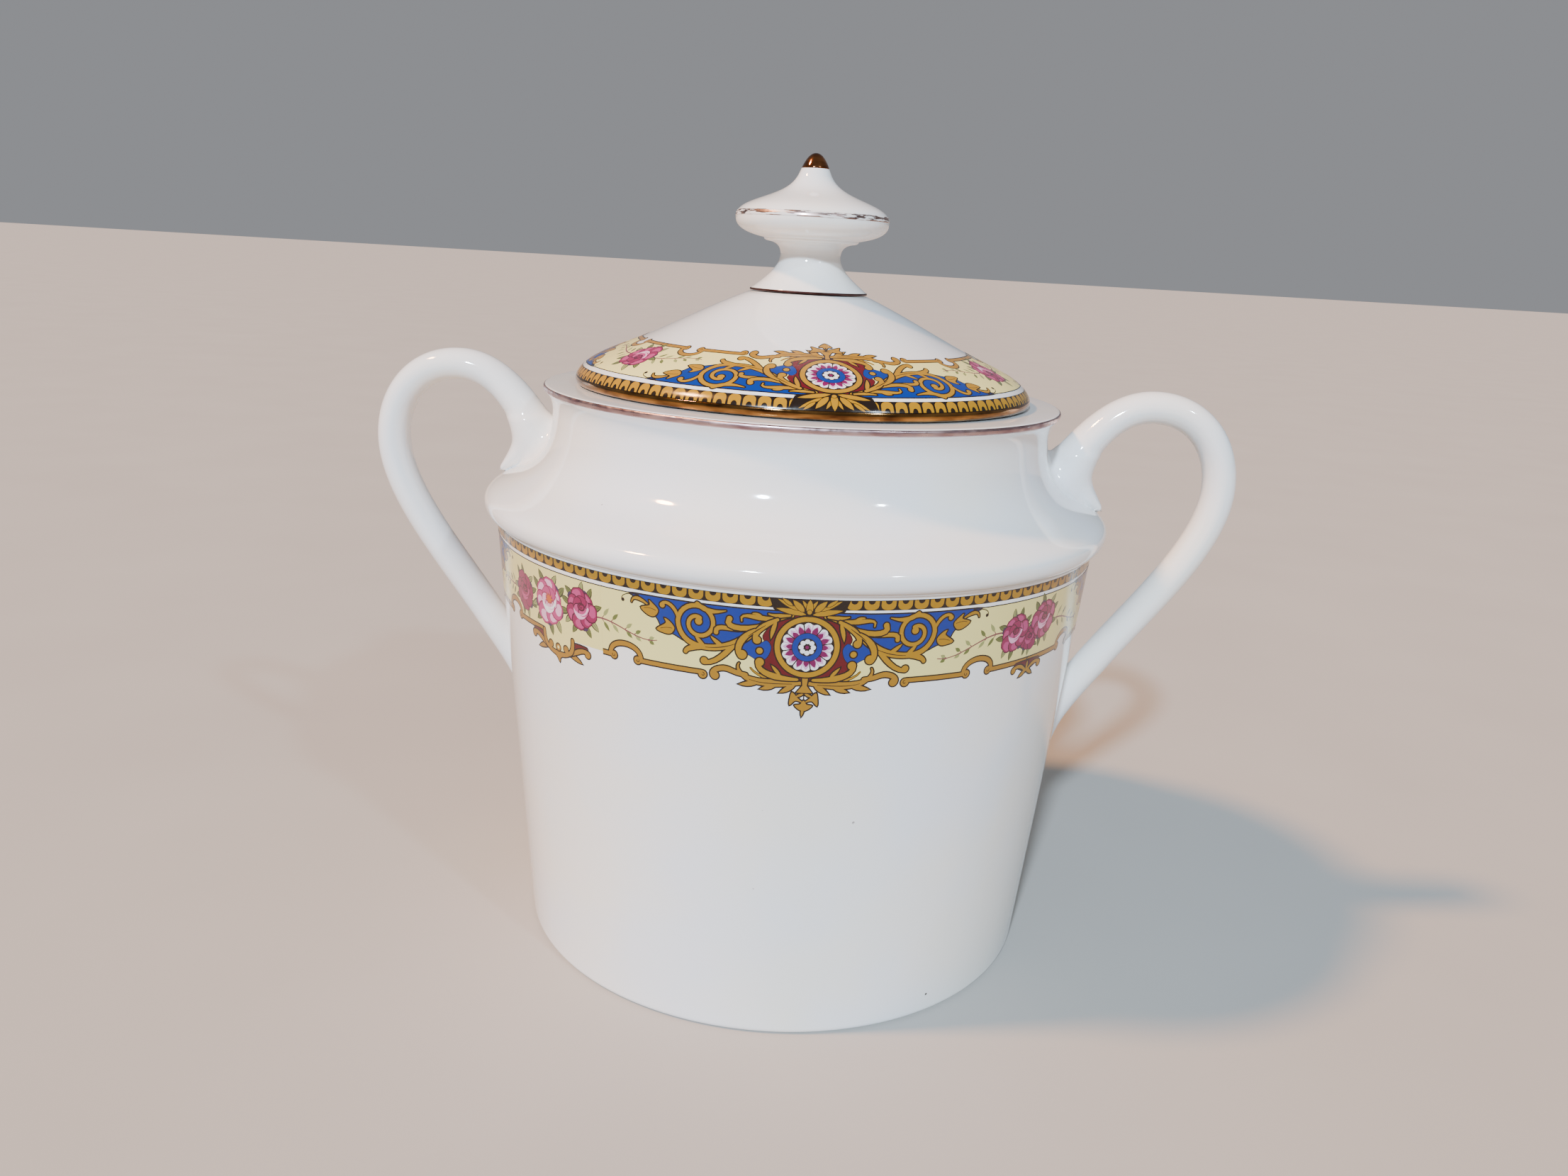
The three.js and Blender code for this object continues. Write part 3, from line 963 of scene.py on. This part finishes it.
def paint_pendant(art, x, bar):
    """A small tuft of leaves that hangs from the bar."""
    art.x = x
    shade = (-3.3, bar - 0.3), (-2.6, bar - 1.2), (0, bar - 2.0), (2.6, bar - 1.2), (3.3, bar - 0.3)
    hook = (0.2, bar - 2.1), (1.4, bar - 1.0), (2.6, bar - 0.6), (3.9, bar - 1.2)
    art.draw("maroon", [blob(*shade)])
    art.pair("ochre", [
        *curl(*hook, widths=(0.2, 0.3, 0.26), ball=0.55, inward=-1),
        leaf((0, bar - 1.7), (2.0, bar - 3.0), 0.3, 0.5),
        leaf((0, bar - 0.3), (0, bar - 2.3), 0.3, 0.3),
    ])
    art.x = 0


def paint_cradle(art, x, bar):
    """A dip in the bar under the big roses, edged with scrolls."""
    art.x = x
    dip = Outline(-4.2, bar + 0.4).cubic((-4.2, bar - 1.8), (-3.2, bar - 2.9), (0, bar - 3.1))
    dip.cubic((3.2, bar - 2.9), (4.2, bar - 1.8), (4.2, bar + 0.4))
    art.fill("cream", loop_shape(dip.array()))
    shade = (4.4, bar - 0.5), (7.6, bar - 0.5), (6.9, bar - 1.2), (4.6, bar - 2.0)
    outer = (3.0, bar - 2.9), (5.0, bar - 1.9), (6.2, bar - 0.9), (7.8, bar - 1.3)
    inner = (4.1, bar), (4.2, bar - 2.2), (3.0, bar - 3.3), (2.0, bar - 2.3)
    sill = (-3.0, bar - 2.7), (-1.5, bar - 3.6), (1.5, bar - 3.6), (3.0, bar - 2.7)
    art.pair("maroon", [blob(*shade)])
    art.pair("buff", [leaf((2.8, bar - 2.6), (6.3, bar - 3.6), 0.6, 0.35)])
    art.pair("buff", curl(*outer, widths=(0.2, 0.42, 0.3), ball=0.62, inward=-1))
    art.draw("buff", [
        *both_sides(curl(*inner, widths=(0.34, 0.42, 0.3), ball=0.6, inward=-1)),
        limb(spine(*sill), 0.3, 0.42, 0.3),
        blob((-1.1, bar - 3.5), (0, bar - 3.4), (1.1, bar - 3.5), (0.4, bar - 4.1), (0.2, bar - 4.8),
            (-0.4, bar - 4.1)),
    ])
    art.draw("buff", [disc((0, bar - 2.2), 0.62, steps=16)])
    art.fill("cream", disc((0, bar - 2.2), 0.3, steps=12))
    art.x = 0


# ---- border art: roses ----
ROSE_TONES = {
    "pink": ("rose_deep", "rose", "rose_mid", "rose_pale", "rose_deep"),
    "red": ("rose_deep", "rose", "rose", "rose_mid", "rose_deep"),
    "pale": ("rose", "rose_mid", "rose_pale", "white", "rose_heart"),
}


def petal(centre, r, degrees, out, wide, tall, steps=14):
    """A petal with a soft notch in its rim, out from a rose's centre. Lengths are shares of r."""
    angle = 2 * np.pi * np.arange(steps) / steps
    notch = 1 - 0.12 * np.exp(-((np.minimum(angle, 2 * np.pi - angle) / 0.35) ** 2))
    ahead = (out + tall * np.cos(angle) * notch)[:, None] * turned_point(0, 1, degrees)
    aside = (wide * np.sin(angle))[:, None] * turned_point(0, 1, degrees + 90)
    return loop_shape(centre + r * (ahead + aside))


def paint_rose(art, x, y, r, tones, phase=0):
    """Two rows of petals that overlap like a fan, round a cup with a dark heart."""
    deep, body, light, pale, heart = ROSE_TONES[tones]
    centre = np.array([x, y], float)
    for k in range(7):
        angle = phase + 360 * k / 7 + 5 * math.sin(3.1 * k)
        size = 1 + 0.08 * math.sin(2.3 * k + phase)
        art.fill(deep, petal(centre, r * size, angle, 0.60, 0.47, 0.44))
        art.fill(body, petal(centre, r * size, angle, 0.61, 0.41, 0.38))
        art.fill(light, petal(centre, r * size, angle + 6, 0.70, 0.28, 0.22, steps=10))
    heart_at = centre + (0.04 * r, 0.14 * r)
    for k in range(5):
        angle = phase - 40 + 72 * k
        art.fill(deep, petal(heart_at, r, angle, 0.27, 0.36, 0.31))
        art.fill(body if k in (1, 2) else light, petal(heart_at, r, angle, 0.28, 0.31, 0.26))
    lips = (190, -0.06, (0.01, 0.12, 0.01)), (225, 0.1, (0.01, 0.06))
    for start, up, widths in lips:
        lip = coil(heart_at + (0, up * r), 0.52 * r, 0.44 * r, start, 120, steps=10)
        art.fill(pale, limb(lip, *(w * r for w in widths)))
    art.fill(deep, disc(heart_at, 0.25 * r, steps=14, tall=0.85))
    art.fill(heart if heart != deep else body, disc(heart_at, 0.17 * r, steps=12, tall=0.8))
    art.fill(deep, limb(coil(heart_at, 0.13 * r, 0.04 * r, phase, 300, steps=10), 0.035 * r, 0.02 * r))
    if heart == "rose_heart":
        for k in range(9):
            art.fill(heart, limb([heart_at, turned_point(heart_at, 0.34 * r, 40 * k)], 0.06 * r, 0.01))


def paint_leaf(art, base, degrees, length, tone="leaf"):
    base = np.array(base, float)
    rib = turned_point(0, length, degrees)
    art.fill("leaf_dark", leaf(base, base + rib, 0.27 * length, 0.27 * length, steps=5))
    inner = leaf(base + 0.06 * rib, base + 0.95 * rib, 0.21 * length, 0.16 * length, steps=5)
    art.fill(tone, inner)
    art.fill("leaf_dark", limb([base, base + 0.8 * rib], 0.06, 0.02))


def paint_foliage(art, x, y, r, count, phase):
    """A ring of leaves that stand out from behind a rose."""
    for k in range(count):
        angle = phase + 360 * k / count
        tone = ("leaf", "leaf_pale", "leaf")[k % 3]
        base = turned_point(np.array([x, y]), 0.7 * r, angle)
        paint_leaf(art, base, angle + 14 * (-1) ** k, 0.72 * r, tone)


def paint_spray(art, start, end, drop, pairs=5):
    """A thin stem with small leaves that trails away from a cluster."""
    (x0, y0), (x1, y1) = start, end
    near, far = (x0 + (x1 - x0) * 0.35, y0 + drop), (x0 + (x1 - x0) * 0.7, y1 - drop)
    line = spine(start, near, far, end, steps=14)
    way = 1 if x1 > x0 else -1
    for k in range(pairs):
        at = line[2 + round(k * 12 / pairs)]
        size = 2.5 - 0.3 * k
        for up in (1, -1):
            tip = turned_point(at, size, up * (90 - way * (38 + 6 * k)))
            tone = "leaf_pale" if (k + (up > 0)) % 2 else "leaf"
            art.fill("stem", limb([at, tip], 0.08, 0.05))
            art.fill(tone, leaf(at + 0.25 * (tip - at), tip, 0.42, 0.36, steps=4))
    art.fill("stem", limb(line, 0.15, 0.11, 0.08))


CLUSTERS = {  # roses: x, y, radius, tones, turn. Sprays: start, end, droop.
    "three": (
        ((-10.6, -0.5, 3.5, "red", 10), (6.6, 0.4, 3.6, "pink", 50), (-2.0, -0.3, 4.2, "pale", 30)),
        (((9.5, -0.2), (22.0, -1.6), 1.2), ((-13.5, -0.2), (-22.5, -0.8), -1.0)),
    ),
    "two": (
        ((-0.9, -1.6, 2.4, "red", 0), (2.7, 1.1, 3.6, "pink", 20), (-5.2, -0.2, 3.4, "pink", 70)),
        (((-8.0, 0.4), (-21.5, -2.4), 0.9), ((5.5, 0.2), (20.0, -1.8), 1.0)),
    ),
    "one": (
        ((0.0, -0.4, 3.9, "pink", 40),),
        (((-2.8, -0.6), (-14.5, -1.9), 1.0), ((2.8, -0.6), (14.5, -1.9), 1.0)),
    ),
}


def paint_cluster(art, x, kind):
    """Roses round a place x, over their leaves, buds and trailing sprays."""
    roses, sprays = CLUSTERS[kind]
    for start, end, drop in sprays:
        paint_spray(art, (x + start[0], start[1]), (x + end[0], end[1]), drop)
    for cx, cy, r, _, phase in roses:
        paint_foliage(art, x + cx, cy, r, 9, phase)
    for cx, cy, r, _, phase in roses:
        for k in range(5):
            bud = petal(np.array([x + cx, cy]), r, phase + 72 * k + 20, 0.86, 0.22, 0.2, steps=8)
            art.fill("violet", bud)
    for cx, cy, r, tones, phase in roses:
        paint_rose(art, x + cx, cy, r, tones, phase)


# ---- border art: enamel shells ----
class Band:
    """A turned surface unrolled: y runs up the line from `zero`, or down it if way is -1."""

    def __init__(self, line, zero, way, radius):
        self.line = line
        self.length = along(line)
        self.zero, self.way, self.radius = zero, way, radius
        slope = np.gradient(line, self.length, axis=0)
        slope /= np.linalg.norm(slope, axis=1)[:, None]
        self.normal = np.stack([slope[:, 1], -slope[:, 0]], -1)

    def lay(self, xy, azimuth, lift):
        """Places and outward normals of points, lifted off the surface."""
        s = self.zero + self.way * xy[:, 1]
        r, z = (np.interp(s, self.length, self.line[:, k]) for k in range(2))
        nr, nz = (np.interp(s, self.length, self.normal[:, k]) for k in range(2))
        angle = azimuth + xy[:, 0] / self.radius
        c, sn = np.cos(angle), np.sin(angle)
        r, z = r + lift * nr, z + lift * nz
        return np.stack([r * c, r * sn, z], -1), np.stack([nr * c, nr * sn, nz], -1)


def inside(points, loop):
    """Which points a loop winds round."""
    x, y = points.T[:, :, None]
    x0, y0 = loop.T
    x1, y1 = np.roll(loop, -1, 0).T
    left = (x1 - x0) * (y - y0) - (x - x0) * (y1 - y0) > 0
    up, down = (y0 <= y) & (y1 > y), (y0 > y) & (y1 <= y)
    return (up & left).sum(1) != (down & ~left).sum(1)


def topmost(points, layers, colours):
    """Index in colours of the last layer painted over each point, or -1 where it is bare."""
    order = np.argsort(points[:, 0])
    sorted_x = points[order, 0]
    paint = np.full(len(points), -1)
    for colour, loop in layers:
        first, last = np.searchsorted(sorted_x, (loop[:, 0].min(), loop[:, 0].max()))
        some = order[first:last]
        low, high = loop[:, 1].min(), loop[:, 1].max()
        some = some[(points[some, 1] > low) & (points[some, 1] < high)]
        if len(some):
            some = some[inside(points[some], loop)]
            paint[some] = -1 if colour == BARE else colours.index(colour)
    return paint


def flat_border(layers, colours, x_range, x_step, y_lines):
    """Triangles of the painted border between two x, with a colour each."""
    (x0, x1), points, edges = x_range, [], []

    def add(loop, closed=True):
        first, count = len(points), len(loop)
        points.extend(Vector(p) for p in loop)
        sides = range(count if closed else count - 1)
        edges.extend((first + i, first + (i + 1) % count) for i in sides)

    layers = [layer for layer in layers if layer[1][:, 0].max() > x0 and layer[1][:, 0].min() < x1]
    for _, loop in layers:
        add(loop)
    low = min(loop[:, 1].min() for _, loop in layers) - 0.5
    high = max(loop[:, 1].max() for _, loop in layers) + 0.5
    for x in np.linspace(x0, x1, round((x1 - x0) / x_step) + 1):
        add([(x, low), (x, high)], closed=False)
    for y in [y for y in y_lines if low < y < high]:
        add([(x0 - 1, y), (x1 + 1, y)], closed=False)
    found = delaunay_2d_cdt(points, edges, [], 0, 1e-5, False)
    places = np.array([tuple(p) for p in found[0]])
    faces = np.array(found[2])
    middle = places[faces].mean(1)
    paint = topmost(middle, layers, colours)
    keep = (paint >= 0) & (middle[:, 0] > x0) & (middle[:, 0] < x1)
    return places, faces[keep], paint[keep]


ENAMEL = {name: enamel_material(name, rgb) for name, rgb in ENAMELS.items()}
PROUD, DEPTH = 0.035, 0.12  # how far an enamel shell stands over the glaze, and reaches under it


def enamel_piece(name, body, band, azimuth, border):
    """A thin closed shell of enamel, bent round its turned surface."""
    places, faces, paint = border
    used, faces = np.unique(faces, return_inverse=True)
    faces, count = faces.reshape(-1, 3), len(used)
    top, normals = band.lay(places[used], azimuth, PROUD)
    under, _ = band.lay(places[used], azimuth, -DEPTH)
    a, b, c = top[faces[0]]
    if np.cross(b - a, c - a) @ normals[faces[0, 0]] < 0:
        faces = faces[:, ::-1]
    ahead = np.concatenate([faces[:, [i, (i + 1) % 3]] for i in range(3)])
    owner = np.tile(np.arange(len(faces)), 3)
    free = ~np.isin(ahead[:, 0] * count + ahead[:, 1], ahead[:, 1] * count + ahead[:, 0])
    first, second = ahead[free].T
    walls = np.stack([second, first, first + count, second + count], -1)
    every_face = faces.tolist() + (faces[:, ::-1] + count).tolist() + walls.tolist()
    slots = np.concatenate([paint, paint, paint[owner[free]]])
    piece = new_piece(name, np.concatenate([top, under]), every_face, list(ENAMEL.values()), slots)
    corner_normals = np.zeros((len(piece.data.loops), 3))
    corner_normals[: faces.size] = normals[faces.ravel()]
    piece.data.polygons.foreach_set("use_smooth", np.arange(len(every_face)) < len(faces))
    piece.data.normals_split_custom_set(corner_normals.tolist())
    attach(piece, body)


# ---- the border round the drum: four medallions, with roses between them ----
DRUM_R = 57.0
DRUM_MEDALLION_Z = RIM_Z - 32.7
DRUM_START = -90 + 6.1  # degrees from +X to the medallion nearest the camera
DRUM_SEAM = -35.0  # x where one half of the border begins
DRUM_STEP = 2.4  # longest facet round the drum
NEAR, FAR = 43.25, 46.275  # half way to the next medallion, over the pendant and over the cradle
CRADLE = 4.3  # from a cradle's middle to the bar
DRUM_HALF = 2 * (NEAR + FAR)
DRUM_STYLE = {
    "chain_low": 6.25, "chain_high": 7.9, "pitch": DRUM_HALF / 66,
    "bar": -5.7, "arch": (27.0, 33.6), "rise": 3.1,
}


def drum_art():
    art, bar = Art(), DRUM_STYLE["bar"]
    paint_ground(art, -FAR, DRUM_HALF - 33, DRUM_STYLE)
    for x, before, after in ((0, FAR - CRADLE, NEAR), (2 * NEAR, NEAR, FAR - CRADLE)):
        paint_bar(art, x, after, DRUM_STYLE)
        paint_bar(art, x, -before, DRUM_STYLE)
    paint_pendant(art, NEAR, bar)
    paint_cradle(art, 2 * NEAR + FAR, bar)
    for x in (0, 2 * NEAR):
        paint_medallion(art, x, DRUM_STYLE["chain_high"], False)
    paint_cluster(art, NEAR, "two")
    for x in (-FAR, 2 * NEAR + FAR):
        paint_cluster(art, x, "three")
    return art.layers


COLOURS = list(ENAMELS)
drum_zero = np.interp(DRUM_MEDALLION_Z, OUTSIDE[:, 1], along(OUTSIDE))
drum_wall = Band(OUTSIDE, drum_zero, 1, DRUM_R)
drum_range = (DRUM_SEAM, DRUM_HALF + DRUM_SEAM)
drum_border = flat_border(drum_art(), COLOURS, drum_range, DRUM_STEP, [])
for name, turn in (("front", 0), ("back", 180)):
    enamel_piece("drum_border_" + name, "bowl", drum_wall, math.radians(DRUM_START + turn), drum_border)

# ---- the border round the lid: three medallions, upside down, and the chain at the edge ---
LID_R = 36.0
LID_START = -90 + 10.1
LID_SEAM = -32.6
LID_STEP = 1.6
LID_MEDALLION_S = 10.35  # from the lid's edge in to a medallion's centre, along the surface
LID_THIRD = 2 * math.pi * LID_R / 3
LID_STYLE = {
    "chain_low": 6.55, "chain_high": 8.6, "pitch": LID_THIRD / 36,
    "bar": -5.3, "arch": (25.2, 30.8), "rise": 3.0,
}


def lid_art():
    art = Art()
    paint_ground(art, -LID_THIRD, LID_THIRD, LID_STYLE)
    for x in (0, LID_THIRD):
        paint_bar(art, x, -LID_THIRD / 2, LID_STYLE)
        paint_bar(art, x, LID_THIRD / 2, LID_STYLE)
        paint_medallion(art, x, LID_STYLE["chain_high"], True)
    for x in (-LID_THIRD / 2, LID_THIRD / 2):
        paint_cluster(art, x, "one")
    return art.layers


lid_line = lid_top(Outline(*LID_EDGE - (0.5, 0))).array()
lid_dome = Band(lid_line, LID_MEDALLION_S, -1, LID_R)
lid_creases = (LID_MEDALLION_S - lid_dome.length)[::2]
lid_range = (LID_SEAM, LID_THIRD + LID_SEAM)
lid_border = flat_border(lid_art(), COLOURS, lid_range, LID_STEP, lid_creases)
for i, name in enumerate(("front", "right", "left")):
    enamel_piece("lid_border_" + name, "lid", lid_dome, math.radians(LID_START + 120 * i), lid_border)


# ---- gilding ----
GILT_PROUD, GILT_TAPER = 0.05, 0.2  # how far gold stands up, and the width of its thinned edge


def gilt_band(name, body, line, start, end, material):
    """A thin band of gold between two distances along a line, from its end where not positive."""
    length = along(line)
    start = start + length[-1] if start < 0 else start
    end = end + length[-1] if end <= 0 else end
    s = np.linspace(start, end, 14)
    place = np.stack([np.interp(s, length, line[:, k]) for k in range(2)], -1)
    slope = np.gradient(place, s, axis=0)
    out = np.stack([slope[:, 1], -slope[:, 0]], -1) / np.linalg.norm(slope, axis=1)[:, None]
    to_cap = place[-1, 0] < 1e-6
    ends = np.minimum(s - start, 1 if to_cap else end - s)
    lift = GILT_PROUD * np.minimum(1, 0.2 + ends / GILT_TAPER)[:, None]
    over, below = place + out * lift, place - out * DEPTH
    if to_cap:
        over[-1, 0] = below[-1, 0] = 0
        outline = np.concatenate([below[::-1], over])
    else:
        outline = np.concatenate([over, below[::-1]])
    piece = turned(name, outline, material, closed=not to_cap)
    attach(piece, body)


rim_line = rolled_lip(bowl_side()).array()
knob_line = knob_side(Outline(*KNOB_BASE + (0, KNOB_FOOT))).array()
# The burnished edge's dark tone is painted reflection: its base colour is darkened to stand for dark
# surroundings mirrored in polished gold.
burnished = gilding_material("burnished", 0.0, (172, 124, 66), (82, 52, 28), rough=0.11)
tip = gilding_material("tip", 0.0, (158, 104, 64), (84, 44, 26))
tarnished = gilding_material("tarnished", 0.12, (204, 178, 176), (138, 110, 116), rough=0.34)
rubbed = gilding_material("rubbed", 0.29, (186, 160, 150), (128, 104, 102), rough=0.3)
faded = gilding_material("faded", 0.05, (88, 60, 58), (54, 34, 32), rough=0.45)
knob_edge = np.interp(KNOB_DISC[1], knob_line[:, 1], along(knob_line))
foot_line = np.concatenate([[KNOB_BASE - (0, 0.1)], knob_line])
gilt_band("lid_gilt_edge", "lid", lid_line, 0.05, 1.75, burnished)
gilt_band("rim_gilt_line", "bowl", rim_line, -1.65, -0.5, tarnished)
gilt_band("knob_gilt_tip", "lid", knob_line, -3.9, 0, tip)
gilt_band("knob_gilt_line", "lid", knob_line, knob_edge + 0.2, knob_edge + 1.3, rubbed)
gilt_band("knob_base_line", "lid", foot_line, 0.02, 0.46, faded)


# ---- stage: floor, light and camera ----
CAMERA = {"distance": 228.2, "height": 131.3}
CAMERA_ANGLES = {"azimuth": 3.0, "yaw": -3.34, "pitch": 15.76, "roll": 3.30}
SENSOR, LENS = 36.0, 27.1
FLOOR_HALF = 12000
PAPER = (168, 165, 159), (176, 173, 167)
SKY, SKY_STRENGTH = (206, 208, 214), 0.45
SUNS = {  # degrees from the front (-Y) towards +X, degrees up, strength, degrees across, colour
    "key": (-12, 33, 5.6, 4, (212, 233, 255)),
    "lamp": (-74, 50, 5.0, 6, (255, 186, 124)),
    "window": (44, 36, 0.9, 3, (220, 238, 255)),
}


def add_floor():
    r = FLOOR_HALF
    corners = [(-r, -r, 0), (r, -r, 0), (r, r, 0), (-r, r, 0)]
    n = Nodes("floor_paper").set(Roughness=0.75, Specular_IOR_Level=0.25)
    n.link(n.mix(n.noise(60), *(linear(rgb) for rgb in PAPER)), "Base Color")
    floor = new_piece("floor", corners, [(0, 1, 2, 3)], [n.material], smooth=False)


def add_sun(name, azimuth, elevation, strength, spread, colour):
    light = bpy.data.lights.new(name, "SUN")
    light.energy, light.angle = strength, math.radians(spread)
    light.color = linear(colour)[:3]
    lamp = bpy.data.objects.new(name, light)
    around, up = math.radians(azimuth), math.radians(elevation)
    towards = Vector((math.sin(around) * math.cos(up), -math.cos(around) * math.cos(up), math.sin(up)))
    lamp.rotation_euler = towards.to_track_quat("Z", "Y").to_euler()
    bpy.context.scene.collection.objects.link(lamp)


def add_world():
    world = bpy.data.worlds.new("studio")
    world.use_nodes = True
    background = world.node_tree.nodes["Background"]
    background.inputs["Color"].default_value = linear(SKY)
    background.inputs["Strength"].default_value = SKY_STRENGTH
    bpy.context.scene.world = world


def add_camera():
    azimuth, yaw, pitch, roll = (math.radians(a) for a in CAMERA_ANGLES.values())
    ahead = Vector((math.sin(yaw) * math.cos(pitch), math.cos(yaw) * math.cos(pitch), -math.sin(pitch)))
    level = Vector((math.cos(yaw), -math.sin(yaw), 0))
    upright = level.cross(ahead)
    right = math.cos(roll) * level + math.sin(roll) * upright
    up = -math.sin(roll) * level + math.cos(roll) * upright
    place = Vector((math.sin(azimuth), -math.cos(azimuth), 0)) * CAMERA["distance"]
    place.z = CAMERA["height"]
    data = bpy.data.cameras.new("camera")
    data.sensor_fit = "HORIZONTAL"
    data.sensor_width, data.lens = SENSOR, LENS
    data.clip_start = 0.01
    camera = bpy.data.objects.new("camera", data)
    turn = Matrix((right, up, -ahead)).transposed().to_4x4()
    camera.matrix_world = Matrix.Translation(place * MM) @ turn
    bpy.context.scene.collection.objects.link(camera)
    bpy.context.scene.camera = camera


add_floor()
add_world()
for name, sun in SUNS.items():
    add_sun(name, *sun)
add_camera()
